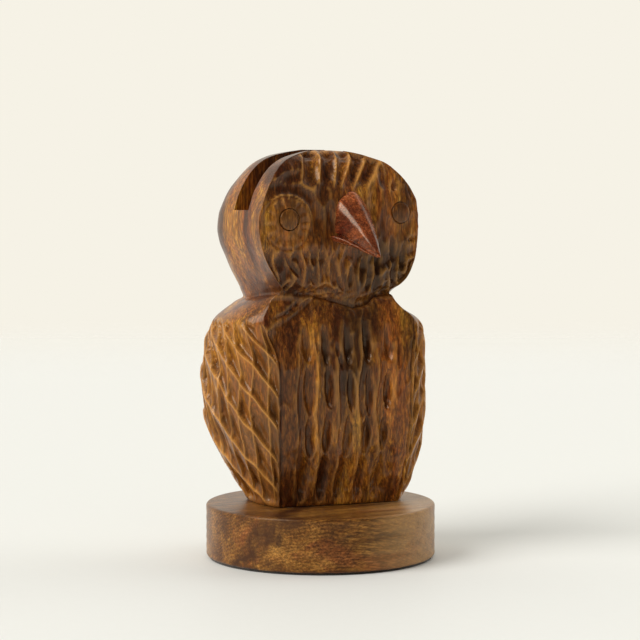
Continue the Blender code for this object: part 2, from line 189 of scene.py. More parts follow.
def owl_grid():
    """Uncarved block as a grid of points, with each point's place across and along it."""
    rows, cols = len(HEIGHTS), FRONT_POINTS + 2 * SIDE_POINTS - 1
    points = np.zeros((rows, cols, 3))
    flat_x = np.zeros((rows, cols))
    arc = np.zeros((rows, cols))
    for i, h in enumerate(HEIGHTS):
        left, right, front, bulge_l, bulge_r, widest, back = (
            smooth_table(h, STATIONS, k) for k in range(1, 8))
        x = left + ACROSS * (right - left)
        y = front + FACE_BOW * (2 * ACROSS - 1) ** 2
        centre = (bulge_l + bulge_r) / 2
        outline = [np.column_stack((x, y))]
        flat_x[i, :FRONT_POINTS] = x
        for k, (edge, bulge) in enumerate(((right, bulge_r), (left, bulge_l))):
            path, along = side_path((edge, front + FACE_BOW), bulge, widest, centre, back)
            shares = SHARES if k == 0 else SHARES[-2::-1]
            want = shares * along[-1]
            outline.append(np.column_stack((np.interp(want, along, path[:, 0]),
                                            np.interp(want, along, path[:, 1]))))
            begin = FRONT_POINTS + k * SIDE_POINTS
            arc[i, begin:begin + len(want)] = want
        points[i, :, :2] = np.vstack(outline)
        points[i, :, 2] = h
    return points, flat_x, arc


POINTS, FLAT_X, ARC = owl_grid()
COLS = POINTS.shape[1]
FRONT = slice(0, FRONT_POINTS)
RIGHT = slice(FRONT_POINTS, FRONT_POINTS + SIDE_POINTS)
LEFT = slice(FRONT_POINTS + SIDE_POINTS, COLS)


def neck_line():
    """Height of the neck crease round the block: it dips under the chin."""
    front_x, front_z = zip(*NECK_FRONT)
    left_z, right_z = front_z[0], front_z[-1]
    line = np.full(COLS, NECK_Z)
    x = np.interp(ACROSS, (0.0, 1.0), (front_x[0], front_x[-1]))
    line[FRONT] = np.interp(x, front_x, front_z)
    line[RIGHT] = right_z + (NECK_Z - right_z) * unit(SHARES / NECK_SHARE_RIGHT)
    line[LEFT] = (left_z + (NECK_Z - left_z) * unit(SHARES / NECK_SHARE_LEFT))[-2::-1]
    kernel = np.hanning(NECK_SMOOTHING)
    padded = np.pad(line, NECK_SMOOTHING // 2, mode="wrap")
    return np.convolve(padded, kernel / kernel.sum(), mode="valid")


def bend_at_neck(points):
    pull = unit(1 - np.abs(points[:, :, 2] - NECK_Z) / NECK_REACH) ** NECK_PULL
    points[:, :, 2] += pull * (neck_line() - NECK_Z)[None, :]


def turn_body(points):
    angle = BODY_TURN * fade(HEIGHTS, *TURN_ZONE)[:, None]
    x, y = points[:, :, 0].copy(), points[:, :, 1].copy()
    points[:, :, 0] = x * np.cos(angle) - y * np.sin(angle)
    points[:, :, 1] = x * np.sin(angle) + y * np.cos(angle)


def grid_normals(points):
    """Outward normals of the grid by finite differences."""
    around = np.roll(points, -1, axis=1) - np.roll(points, 1, axis=1)
    upward = np.gradient(points, axis=0)
    normals = np.cross(around, upward)
    return normals / np.maximum(np.linalg.norm(normals, axis=2, keepdims=True), 1e-9)


SEED_STEPS = (7.31, 3.17, 5.53)


def grid_noise(points, size, seed):
    """Smooth noise of about unit reach on the grid; size is its grain in mm."""
    shift = Vector([seed * step for step in SEED_STEPS])
    flat = points.reshape(-1, 3) / size
    values = [noise.noise(Vector(p) + shift) for p in flat.tolist()]
    return np.array(values).reshape(points.shape[:2])


def eye_centre(node_name):
    low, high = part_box(node_name)
    return ((low[0] + high[0]) / 2 / MM, (low[2] + high[2]) / 2 / MM)


# ---- carving, depths in mm
WIDTH_SKEW = 1.15
WIDTH_POWER = 0.42
FALL_SKEW = 1.5
FALL_POWER = 0.6
STROKE_ROUNDNESS = 0.85


def stroke(x, z, top, foot, half_width, depth, lean):
    """One gouge stroke: a leaf that starts shallow at the top and ends abruptly."""
    (x0, z0), (x1, z1) = top, foot
    length = math.hypot(x1 - x0, z1 - z0)
    dx, dz = (x1 - x0) / length, (z1 - z0) / length
    along = ((x - x0) * dx + (z - z0) * dz) / length
    across = -(x - x0) * dz + (z - z0) * dx
    inside = (along > 0) & (along < 1)
    t = unit(along)
    width = half_width * np.sin(math.pi * t ** WIDTH_SKEW) ** WIDTH_POWER + 1e-6
    u = np.clip(across / width, -1.0, 1.0)
    u = u + lean * (1 - u * u)
    round_cut = unit(1 - u * u) ** STROKE_ROUNDNESS
    fall = np.sin(math.pi * t ** FALL_SKEW) ** FALL_POWER
    return np.where(inside, depth * fall * round_cut, 0.0)


def strokes(x, z, table, lean):
    """The deepest of several strokes at each point."""
    return np.max([stroke(x, z, *row, lean) for row in table], axis=0)


def between(value, lines):
    """For rising lines: index of the pair a value lies between and the distances to both."""
    index = np.clip((value[None] >= lines).sum(axis=0) - 1, 0, len(lines) - 2)
    low = np.take_along_axis(lines, index[None], axis=0)[0]
    high = np.take_along_axis(lines, index[None] + 1, axis=0)[0]
    return index, value - low, high - value


def nearest_gap(value, lines):
    """Signed distance to the nearest line."""
    gaps = lines - value[None]
    pick = np.abs(gaps).argmin(axis=0)
    return np.take_along_axis(gaps, pick[None], axis=0)[0]


def valley(x, lines):
    """Place across the valley between two ridge lines, -1 to 1, its half width and where it is."""
    _, after, before = between(x, lines)
    half = np.maximum((after + before) / 2, 0.1)
    return np.clip((after - before) / 2 / half, -1.0, 1.0), half, (after > 0) & (before > 0)


# breast gouges, row by row: top x and z, foot x and z, half width, depth
CHEST_GOUGES = (
    (-11.2, 90.5, -10.9, 73.2, 2.8, 1.2), (-4.6, 88.0, -3.6, 72.4, 2.2, 1.3),
    (4.2, 90.2, 5.0, 71.4, 2.2, 1.4), (11.4, 91.0, 12.4, 72.6, 2.3, 1.7),
    (20.0, 87.6, 20.9, 73.0, 2.0, 1.1),
    (-10.9, 73.6, -9.9, 53.6, 2.8, 1.4), (-3.2, 73.8, -2.2, 56.0, 2.4, 1.7),
    (5.2, 70.6, 6.3, 54.6, 2.2, 1.6), (12.6, 71.4, 13.2, 52.6, 2.1, 1.5),
    (20.4, 70.4, 20.0, 55.2, 2.2, 1.7),
    (-9.9, 55.8, -9.2, 37.8, 2.6, 1.5), (-2.6, 56.6, -3.4, 39.2, 2.4, 1.6),
    (5.8, 55.8, 4.4, 37.6, 2.3, 1.5), (13.0, 55.0, 11.8, 38.4, 2.3, 1.6),
    (19.6, 55.2, 18.6, 39.4, 2.2, 1.5),
    (-10.6, 39.4, -11.6, 21.6, 2.7, 1.3), (-3.2, 40.0, -4.2, 21.4, 2.8, 1.5),
    (3.9, 39.8, 1.9, 21.8, 2.7, 1.6), (11.4, 39.6, 9.6, 20.8, 2.6, 1.6),
    (18.2, 40.8, 16.2, 22.2, 2.6, 1.7),
    (-0.4, 81.0, 2.4, 70.0, 1.5, 0.8), (-7.8, 85.0, -7.0, 75.0, 1.0, 0.7),
    (16.4, 84.0, 16.2, 74.0, 1.1, 0.6), (24.6, 85.0, 23.8, 70.0, 1.0, 0.5),
    (9.2, 63.0, 9.6, 51.0, 0.9, 0.5), (1.3, 48.0, 0.9, 38.0, 0.9, 0.5))
GOUGE_LEAN = 0.30
GOUGE_WIDTH = 0.82
GOUGE_DEPTH = 1.1
FLUTE_RIDGES = (-14.8, -7.1, 0.9, 8.9, 16.2, 23.2)
FLUTE_DEPTH = 1.5
FLUTE_LEAN = 0.35
FLUTE_ROUNDNESS = 0.8
FLUTE_TOP = (74.0, 89.0)
FLUTE_FOOT = (20.0, 26.0)
FLUTE_SWAY = (0.7, 8.5)
FLUTE_WANDER = (0.5, 4.1)


def carve_chest(x, z):
    """Long swaying flutes with the separate gouges cut into them."""
    sway = FLUTE_SWAY[0] * np.sin((z - FLUTE_FOOT[0]) / FLUTE_SWAY[1])
    sway = sway + FLUTE_WANDER[0] * np.sin((z + x) / FLUTE_WANDER[1])
    lines = np.array([ridge + sway * (0.6 + 0.1 * k) for k, ridge in enumerate(FLUTE_RIDGES)])
    across, _, inside = valley(x, lines)
    across = across + FLUTE_LEAN * (1 - across * across)
    flute = FLUTE_DEPTH * unit(1 - across * across) ** FLUTE_ROUNDNESS
    depth = np.where(inside, flute, 0.0) * fade(z, *FLUTE_TOP) * step01(z, *FLUTE_FOOT)
    for top_x, top_z, foot_x, foot_z, half, deep in CHEST_GOUGES:
        depth = depth + stroke(x, z, (top_x, top_z), (foot_x, foot_z), GOUGE_WIDTH * half,
                               GOUGE_DEPTH * deep, GOUGE_LEAN)
    return depth


# where each slanted feather ridge leaves the arris, and how steeply it climbs
SLANT_START = (97.5, 84.6, 72.2, 59.9, 48.6, 36.1, 25.2, 15.0, 2.5, -10.0, -23.0, -36.0)
SLANT_RISE = (1.45, 1.45, 1.42, 1.36, 1.28, 1.28, 1.12, 0.95, 0.92, 0.95, 1.0, 1.0)
# distance from the arris of each upright ridge, at three heights
UPRIGHT_FOOT = (2.3, 8.0, 12.8, 17.4, 21.9, 26.4, 31.0, 35.7, 40.4, 45.2, 50.0, 55.0)
UPRIGHT_MID = (4.4, 11.0, 15.9, 20.6, 25.2, 30.2, 35.2, 40.2, 45.4, 50.6, 55.8, 61.0)
UPRIGHT_HEAD = (2.6, 8.6, 14.3, 19.9, 25.2, 30.4, 35.6, 40.8, 46.0, 51.2, 56.4, 61.6)
UPRIGHT_Z = (32.0, 56.0, 84.0)
UPRIGHT_WANDER = 0.3
SLANT_WANDER = 0.6
SLANT_RIPPLE = 0.35
SLANT_SAG = 0.0035
# height gap between slanted ridges for each mm across them
SLANT_LENGTH = 1.72
TYPICAL_RISE = SLANT_RISE[4]
WING_TOP = 86.6
WING_FOOT = 21.0
WING_REAR = (56.0, 60.0)
WING_SEEDS = ((RIGHT, 1.7), (LEFT, 0.0))


def slant_heights(arc, seed):
    """Height of every slanted ridge line above each point of the wing."""
    wander = SLANT_WANDER * np.sin(arc * 0.31 + seed) + SLANT_RIPPLE * np.sin(arc * 0.83 + 2.0 * seed)
    starts, rises = np.array(SLANT_START)[:, None, None], np.array(SLANT_RISE)[:, None, None]
    return starts + rises * (arc - SLANT_SAG * arc ** 2)[None] + wander[None]


def upright_arcs(z, seed):
    """Distance from the arris of every upright ridge line at each point's height."""
    foot, mid, head = (np.array(t)[:, None, None] for t in (UPRIGHT_FOOT, UPRIGHT_MID, UPRIGHT_HEAD))
    low, middle, high = UPRIGHT_Z
    lines = foot + (mid - foot) * unit((z - low) / (middle - low))
    lines = lines + (head - mid) * unit((z - middle) / (high - middle))
    return lines + UPRIGHT_WANDER * np.sin(z * 0.21 + seed + np.arange(len(foot))[:, None, None] * 1.9)


def snap_to_ridges(zone, seed):
    """Slide the wing's grid points on to the ridge lines, to keep the ridges crisp."""
    arc, points = ARC[:, zone], POINTS[:, zone]
    step = np.gradient(arc, axis=1)
    gap = nearest_gap(arc, upright_arcs(points[:, :, 2], seed))
    share = np.where(np.abs(gap) <= 0.5 * np.abs(step), gap / step, 0.0)
    on_wing = (arc < WING_REAR[0]) & (points[:, :, 2] < WING_TOP + 2)
    share = np.where(on_wing, share, 0.0)[:, :, None]
    points = points + share * np.gradient(points, axis=1)
    arc = arc + share[:, :, 0] * step
    rise = np.gradient(points, axis=0)
    gap = nearest_gap(points[:, :, 2], slant_heights(arc, seed))
    slope = rise[:, :, 2] - np.gradient(arc, axis=0) * TYPICAL_RISE
    share = np.where(np.abs(gap) <= 0.5 * slope, gap / slope, 0.0)
    share = np.where(on_wing, share, 0.0)
    share[0] = 0.0
    POINTS[:, zone] = points + share[:, :, None] * rise
    ARC[:, zone] = arc + share * np.gradient(arc, axis=0)


SLANT_EDGE = 0.26
UPRIGHT_EDGE = 0.22
UPRIGHT_GLOW = 0.7
SLANT_STEP = (1.0, 0.45)
UPRIGHT_STEP = (0.9, 0.4)
UPRIGHT_SHARE = 0.6


def bell(distance, width):
    return np.exp(-(distance / width) ** 2)


def ridge_colour(arc, z, seed):
    """Pale ridge edges, worn and with painted highlight, and the painted shadow line in the step below them.
    """
    slant = nearest_gap(z, slant_heights(arc, seed)) / SLANT_LENGTH
    upright = nearest_gap(arc, upright_arcs(z, seed))
    pale_highlight = np.maximum(bell(slant, SLANT_EDGE), UPRIGHT_GLOW * bell(upright, UPRIGHT_EDGE))
    step = np.maximum(bell(slant + SLANT_STEP[0], SLANT_STEP[1]),
                      UPRIGHT_SHARE * bell(upright - UPRIGHT_STEP[0], UPRIGHT_STEP[1]))
    wing = step01(z, WING_FOOT, WING_FOOT + 1.5) * fade(z, WING_TOP - 0.5, WING_TOP + 1.0)
    wing = wing * step01(arc, 0.2, 1.2) * fade(arc, *WING_REAR)
    return pale_highlight * wing, step * wing


# each feather cell: the long ramp and the short wall of its scoop, upward and sideways
CELL_DEPTH = 2.3
RAMP_UP = 4.8
WALL_UP = 1.35
RAMP_SIDE = 3.4
WALL_SIDE = 0.8
SCOOP_POWER = 0.9
CELL_FLOOR = 0.38
ARRIS_SHARE = 0.35
TOOTH_HEIGHT = 0.35
TOOTH_WIDTH = 0.8
TOOTH_REACH = 3.6
SCALLOP = 0.9


def carve_wing(arc, z, seed):
    """Scooped cells between slanted feather ridges and thinner upright ones."""
    cell_z, above, below = between(-z, -slant_heights(arc, seed))
    cell_a, after, before = between(arc, np.concatenate((
        np.full((1,) + z.shape, -9.0), upright_arcs(z, seed), np.full((1,) + z.shape, 85.0))))
    scoop_v = np.minimum(above / SLANT_LENGTH / RAMP_UP, below / SLANT_LENGTH / WALL_UP)
    scoop_v = unit(scoop_v) ** SCOOP_POWER
    scoop_u = unit(np.minimum(after / RAMP_SIDE, before / WALL_SIDE)) ** SCOOP_POWER
    vary = 0.9 + 0.25 * np.sin(cell_z * 2.7 + cell_a * 1.9 + seed)
    depth = CELL_DEPTH * vary * scoop_v * (CELL_FLOOR + (1 - CELL_FLOOR) * scoop_u)
    depth = depth - TOOTH_HEIGHT * bell(np.minimum(above, below), TOOTH_WIDTH) * bell(arc, TOOTH_REACH)
    edge_fade = ARRIS_SHARE + (1 - ARRIS_SHARE) * step01(arc, 0.3, 1.8)
    scallop = SCALLOP * np.abs(np.sin(arc * 0.6 + seed))
    upper = fade(z, WING_TOP - 1.2 + scallop, WING_TOP + 0.3 + scallop)
    lower = step01(z, WING_FOOT, WING_FOOT + 2.0)
    behind = fade(arc, *WING_REAR)
    return depth * edge_fade * upper * lower * behind


def groove(distance, half_width, depth):
    """V-shaped incision; distance is to its middle line."""
    return depth * unit(1 - np.abs(distance) / half_width)


def line_distance(x, z, line):
    """Distance to a polyline."""
    best = np.full(x.shape, 1e9)
    for (x0, z0), (x1, z1) in zip(line, line[1:]):
        dx, dz = x1 - x0, z1 - z0
        t = unit(((x - x0) * dx + (z - z0) * dz) / (dx * dx + dz * dz))
        best = np.minimum(best, np.hypot(x - x0 - t * dx, z - z0 - t * dz))
    return best


# crest: foot and top x of each ridge between the flutes
CREST_RIDGES = ((-15.5, -13.5), (-8.2, -6.4), (-1.6, 0.3), (3.0, 7.0), (9.2, 13.9), (15.4, 20.5))
CREST_FOOT_Z = 142.0
CREST_SPREAD = 7.0
CREST_FADE = (133.5, 140.5)
CREST_DEPTH = 1.7
CREST_ROUNDNESS = 0.9
CREST_WIDTH = 2.6


def carve_crest(x, z):
    rise = (z - CREST_FOOT_Z) / CREST_SPREAD
    lines = np.array([foot + (top - foot) * rise for foot, top in CREST_RIDGES])
    across, half, inside = valley(x, lines)
    round_cut = unit(1 - across ** 2) ** CREST_ROUNDNESS
    flute = np.where(inside, round_cut * np.clip(half / CREST_WIDTH, 0.0, 1.2), 0.0)
    return CREST_DEPTH * flute * step01(z, *CREST_FADE)


# strokes: top, foot, half width and depth
CHEEK_STROKES = (
    ((-24.5, 113.5), (-17.2, 103.6), 1.9, 1.7), ((-15.4, 111.0), (-11.0, 100.5), 1.6, 1.3),
    ((-7.0, 112.5), (-5.8, 101.5), 1.7, 1.5), ((-3.2, 106.5), (0.9, 98.2), 1.5, 1.5),
    ((4.4, 109.5), (3.4, 98.6), 1.7, 1.6), ((9.6, 113.0), (8.9, 103.2), 1.9, 1.9),
    ((16.0, 118.0), (15.2, 103.6), 2.1, 2.7), ((21.4, 119.0), (22.4, 107.0), 1.6, 2.0),
    ((26.6, 116.5), (26.0, 104.6), 1.8, 1.8), ((12.4, 104.6), (10.6, 97.8), 1.4, 1.2))
CHEEK_LEAN = 0.25
CHEEK_LOW = (96.5, 99.0)
CHEEK_HIGH = (110.5, 116.0)
CHEEK_HEWN = 1.25
EYE_CHIPS = (((23.4, 140.4), (22.3, 134.6), 1.7, 1.3), ((32.6, 118.6), (28.2, 116.4), 1.0, 0.9),
             ((28.4, 138.0), (30.6, 131.0), 0.9, 0.6))
CHIP_LEAN = -0.3
HEWN_STRETCH = np.array((1.0, 1.0, 0.42))
HEWN_GAIN = 2.6
HEWN_POWER = 0.85


def hewn(size, seed):
    """Irregular upright hollows with sharp ridges between them, 0 on a ridge to 1 in a hollow."""
    rough = np.abs(grid_noise(POINTS * HEWN_STRETCH, size, seed))
    return unit(rough * HEWN_GAIN) ** HEWN_POWER


def carve_cheeks(x, z):
    cheek = step01(z, *CHEEK_LOW) * fade(z, *CHEEK_HIGH)
    rough = CHEEK_HEWN * hewn(3.6, 5)[:, FRONT] * cheek
    return np.maximum(strokes(x, z, CHEEK_STROKES, CHEEK_LEAN), rough)


# carved disc round the left eye, with an arc of brow above it
EYE_DISC = 9.7
DISC_SHIFT = (-0.6, -1.2)
DISC_EDGE = 1.2
PETALS = 14
PETAL_WANDER = 0.15
PETAL_DEPTH = 0.36
PETAL_SINK = 0.05
PETAL_INNER = (4.6, 6.4)
PETAL_OUTER = (8.1, 9.5)
RIM_DEPTH = 0.6
RIM_WIDTH = 1.1
BROW_DEPTH = 1.5
BROW_RISE = 3.0
BROW_HALF = 3.4
BROW_START = (-35.0, 5.0)
BROW_END = (120.0, 150.0)


def from_disc(x, z):
    eye_x, eye_z = eye_centre("eye_plug_left")
    return x - eye_x - DISC_SHIFT[0], z - eye_z - DISC_SHIFT[1]


def carve_eye_disc(x, z):
    """Petals, rim and brow arc, with a mask that is 1 outside the disc."""
    dx, dz = from_disc(x, z)
    r, theta = np.hypot(dx, dz), np.arctan2(dz, dx)
    turn = theta * PETALS / (2 * math.pi) + PETAL_WANDER * np.sin(3 * theta)
    tilt = 1 - (turn - np.floor(turn))
    petals = (PETAL_SINK + PETAL_DEPTH * tilt) * step01(r, *PETAL_INNER) * fade(r, *PETAL_OUTER)
    rim = RIM_DEPTH * unit(1 - np.abs(r - EYE_DISC) / RIM_WIDTH)
    degrees = np.degrees(theta)
    above = step01(degrees, *BROW_START) * fade(degrees, *BROW_END)
    arc_cut = unit(1 - ((r - EYE_DISC - BROW_RISE) / BROW_HALF) ** 2) ** 0.8
    outside = step01(r, EYE_DISC, EYE_DISC + DISC_EDGE)
    return np.maximum(petals + rim, BROW_DEPTH * arc_cut * above * outside), outside


# brow hollows: centre, half widths, lean and depth
BROW_SCOOPS = (((-21.0, 138.6), (7.0, 3.4), 0.35, 1.3), ((-8.4, 134.0), (3.6, 6.0), -0.25, 1.2),
               ((-5.2, 124.0), (2.8, 8.5), 0.05, 1.0), ((13.6, 131.0), (3.2, 8.0), -0.12, 1.1),
               ((19.0, 138.6), (3.6, 3.4), 0.2, 0.9))
FLAT_EYE = (5.0, 7.5)


def carve_brow(x, z):
    depth = np.zeros_like(x)
    for (cx, cz), (rx, rz), lean, deep in BROW_SCOOPS:
        ux = ((x - cx) * math.cos(lean) + (z - cz) * math.sin(lean)) / rx
        uz = ((z - cz) * math.cos(lean) - (x - cx) * math.sin(lean)) / rz
        depth = np.maximum(depth, deep * unit(1 - ux ** 2 - uz ** 2) ** 0.9)
    return depth


def carve_head(x, z):
    """Crest, cheeks, brow and eye disc; the face is flat round the right eye."""
    disc, outside = carve_eye_disc(x, z)
    depth = np.maximum(carve_cheeks(x, z), carve_crest(x, z))
    depth = np.maximum(depth * outside, disc)
    depth = np.maximum(depth, carve_brow(x, z) * outside)
    right_x, right_z = eye_centre("eye_plug_right")
    depth = depth * step01(np.hypot(x - right_x, z - right_z), *FLAT_EYE)
    return np.maximum(depth, strokes(x, z, EYE_CHIPS, CHIP_LEAN))


COLLAR = ((-26.0, 83.2), (-20.6, 88.2), (-9.7, 95.6))
COLLAR_SLOPE = 0.68
COLLAR_STEP = 1.15
COLLAR_BREADTH = 6.0
COLLAR_ROOT = 1.2
COLLAR_FROM = (-30.0, -26.0)
COLLAR_TO = (-11.0, -6.0)
COLLAR_EDGE = (0.9, 0.8)
COLLAR_CRACK = ((-22.5, 89.2), (-18.6, 91.0), (-14.2, 94.4))
CRACK_EDGE = (1.1, 1.1)


def carve_collar(x, z):
    """Band from the left shoulder to the throat that stands proud of the breast."""
    bend_x, bend_z = COLLAR[1]
    beyond = (z - bend_z) - (x - bend_x) * COLLAR_SLOPE
    gap = line_distance(x, z, COLLAR)
    lowered = COLLAR_STEP * bell(gap - COLLAR_ROOT, COLLAR_BREADTH) * step01(gap, 0.0, COLLAR_ROOT)
    lowered = np.where(beyond < 0, lowered, 0.0)
    near = step01(x, *COLLAR_FROM) * fade(x, *COLLAR_TO)
    crack = groove(line_distance(x, z, COLLAR_CRACK), *CRACK_EDGE)
    return lowered * near + groove(gap, *COLLAR_EDGE) + crack


# grooves beside the two front arrises: share across the front, half width and depth
ARRIS_GROOVES = ((0.02, 0.018, 0.6), (0.982, 0.016, 0.5))
GROOVE_TOP = (82.0, 86.0)
WING_LIMIT = 92.0
CREASE_DEPTH = 0.8
CREASE_WIDTH = 0.5
CREASE_RIGHT = (0.05, 0.25)
CREASE_LEFT = (0.02, 0.12)


def carve():
    """Depth in mm to sink every grid point, before noise."""
    z = POINTS[:, :, 2]
    depth = np.zeros(z.shape)
    front_x, front_z = FLAT_X[:, FRONT], z[:, FRONT]
    chest = np.maximum(carve_chest(front_x, front_z), carve_collar(front_x, front_z))
    for place, half, deep in ARRIS_GROOVES:
        chest = chest + groove(ACROSS[None, :] - place, half, deep) * fade(front_z, *GROOVE_TOP)
    depth[:, FRONT] = np.where(HEIGHTS[:, None] < NECK_Z, chest, carve_head(front_x, front_z))
    for side, seed in WING_SEEDS:
        depth[:, side] = carve_wing(ARC[:, side], z[:, side], seed) * (HEIGHTS[:, None] < WING_LIMIT)
    crease = CREASE_DEPTH * bell(HEIGHTS - NECK_Z, CREASE_WIDTH)[:, None]
    depth[:, FRONT] += crease
    depth[:, RIGHT] += crease * fade(SHARES, *CREASE_RIGHT)
    depth[:, LEFT] += crease * fade(SHARES, *CREASE_LEFT)[-2::-1]
    return depth


def box_mean(field, reach, mode):
    """Mean over the rows within reach."""
    padded = np.pad(field, ((reach, reach), (0, 0)), mode=mode)
    total = np.cumsum(np.vstack((np.zeros((1, padded.shape[1])), padded)), axis=0)
    return (total[2 * reach + 1:] - total[:-2 * reach - 1]) / (2 * reach + 1)


def blur(field, rows, cols):
    """Box blur run twice, wrapping round the block."""
    for _ in range(2):
        field = box_mean(box_mean(field, rows, "edge").T, cols, "wrap").T
    return field


WAVE = 0.20
RIPPLE = 0.05
FRONT_HEWN = 0.3
FOOT_EASING = 0.25


def carved_points():
    """Final grid points in mm with their hollow and crest amounts."""
    for side, seed in WING_SEEDS:
        snap_to_ridges(side, seed)
    bend_at_neck(POINTS)
    depth = carve()
    turn_body(POINTS)
    surface = depth + WAVE * grid_noise(POINTS, 9.0, 1) + RIPPLE * grid_noise(POINTS, 2.6, 2)
    surface[:, FRONT] += FRONT_HEWN * hewn(3.0, 9)[:, FRONT]
    edge = step01(POINTS[:, :, 2], FOOT_Z, FOOT_Z + 1.0)
    surface = surface * edge + FOOT_EASING * (1 - edge)
    surface = surface * fade(HEIGHTS, TOP_Z - 1.2, TOP_Z - 0.3)[:, None]
    moved = POINTS - grid_normals(POINTS) * surface[:, :, None]
    moved[0, :, 2] = FOOT_Z
    moved[:, :, 2] = np.clip(moved[:, :, 2], FOOT_Z, TOP_Z)
    return moved, hollow_shade_amount(surface, depth), wear_and_highlight_amount(surface)


# painted amounts for the painted shade in cuts: how far in mm a point lies in or out, and how strongly it
# shows
SINK_FULL = 0.5
SINK_SHARE = 0.6
CUT_FULL = 1.6
CUT_SHARE = 0.4
WING_HOLLOW = 0.10
WING_STEP = 0.70
FRONT_SINK = (0.10, 0.30)
FRONT_HOLLOW = 0.8


def hollow_shade_amount(surface, depth):
    """Painted shade: how dark each point is for lying in a cut, with a painted shadow line in the step below
    each wing ridge.
    """
    sunk = unit((surface - blur(surface, 5, 5)) / SINK_FULL) * SINK_SHARE
    hollow = sunk + unit(depth / CUT_FULL) * CUT_SHARE
    for side, seed in WING_SEEDS:
        _, step_shadow = ridge_colour(ARC[:, side], POINTS[:, side, 2], seed)
        hollow[:, side] = unit(WING_HOLLOW * hollow[:, side] + WING_STEP * step_shadow)
    narrow = unit((surface - blur(surface, 4, 3) - FRONT_SINK[0]) / FRONT_SINK[1])
    hollow[:, FRONT] = narrow[:, FRONT] * FRONT_HOLLOW
    return hollow


# painted highlight with wear on raised points, the wing faces and the eye disc: how far out in mm, and how
# strongly each shows
RISE = (0.10, 0.34)
WING_PALE = 0.12
WING_CREST = 0.25
FRONT_CREST = 0.4
BROW_CREST = 0.4
BROW_Z = (128.0, 138.0)
DISC_CREST = 1.5
DISC_PALE = 0.13


def wear_and_highlight_amount(surface):
    """Paleness from wear with painted highlight for standing proud; the wings and the eye disc are made paler
    still.
    """
    crest = unit((blur(surface, 2, 2) - surface - RISE[0]) / RISE[1])
    for side, seed in WING_SEEDS:
        arc, z = ARC[:, side], POINTS[:, side, 2]
        pale_highlight, _ = ridge_colour(arc, z, seed)
        pale = WING_PALE * fade(arc, *WING_REAR)
        pale = pale * fade(z, WING_TOP - 1.0, WING_TOP + 1.0)
        crest[:, side] = np.maximum(WING_CREST * crest[:, side] + pale, pale_highlight)
    x, z = POINTS[:, FRONT, 0], POINTS[:, FRONT, 2]
    crest[:, FRONT] *= FRONT_CREST + BROW_CREST * step01(z, *BROW_Z)
    pale_highlight = np.exp(-(np.hypot(*from_disc(x, z)) / EYE_DISC) ** 4)
    crest[:, FRONT] = unit(crest[:, FRONT] * (1.0 + DISC_CREST * pale_highlight) + DISC_PALE * pale_highlight)
    return crest


# ---- meshes
def link(item):
    bpy.context.scene.collection.objects.link(item)
    return item


def mesh_object(name, vertices, faces):
    mesh = bpy.data.meshes.new(name)
    mesh.from_pydata(vertices, [], faces)
    mesh.validate()
    return link(bpy.data.objects.new(name, mesh))


def shade(item, angle):
    for polygon in item.data.polygons:
        polygon.use_smooth = True
    item.data.set_sharp_from_angle(angle=math.radians(angle))


def outward(item):
    """Turn every face of a closed mesh outward."""
    builder = bmesh.new()
    builder.from_mesh(item.data)
    bmesh.ops.recalc_face_normals(builder, faces=builder.faces)
    builder.to_mesh(item.data)
    builder.free()


def tube(name, vertices, around):
    """Closed piece from rings of vertices, capped at both ends."""
    last = len(vertices) // around - 1
    faces = []
    for start in range(0, last * around, around):
        for i in range(around):
            j = (i + 1) % around
            faces.append((start + i, start + j, start + around + j, start + around + i))
    faces.append(tuple(range(around))[::-1])
    faces.append(tuple(range(last * around, (last + 1) * around)))
    item = mesh_object(name, vertices, faces)
    outward(item)
    return item


def revolve(name, profile, segments, centre=(0.0, 0.0), axis_y=False):
    """Turned piece from (radius, height) pairs in mm; the ends close on the axis."""
    vertices = []
    for radius, height in profile:
        for i in range(segments):
            a = 2 * math.pi * i / segments
            x, y = radius * math.cos(a), radius * math.sin(a)
            p = (centre[0] + x, height, centre[1] - y) if axis_y else (centre[0] + x, centre[1] + y, height)
            vertices.append(tuple(c * MM for c in p))
    return tube(name, vertices, segments)


def box_object(name, low, high):
    corners = [(x, y, z) for x in (low[0], high[0]) for y in (low[1], high[1]) for z in (low[2], high[2])]
    faces = [(0, 1, 3, 2), (4, 6, 7, 5), (0, 4, 5, 1), (2, 3, 7, 6), (0, 2, 6, 4), (1, 5, 7, 3)]
    return mesh_object(name, corners, faces)


def subtract(target, cutters):
    for cutter in cutters:
        modifier = target.modifiers.new(cutter.name, "BOOLEAN")
        modifier.operation = "DIFFERENCE"
        modifier.solver = "EXACT"
        modifier.object = cutter
    depsgraph = bpy.context.evaluated_depsgraph_get()
    mesh = bpy.data.meshes.new_from_object(target.evaluated_get(depsgraph))
    target.modifiers.clear()
    target.data = mesh
    for cutter in cutters:
        bpy.data.objects.remove(cutter, do_unlink=True)


def paint(item, source, values):
    """Copy named values from the grid points to the nearest vertices of the mesh."""
    tree = kdtree.KDTree(len(source))
    for i, p in enumerate(source):
        tree.insert(p, i)
    tree.balance()
    nearest = [tree.find(v.co)[1] for v in item.data.vertices]
    for name, field in values.items():
        layer = item.data.attributes.new(name, "FLOAT", "POINT")
        layer.data.foreach_set("value", np.asarray(field, dtype=np.float32)[nearest])


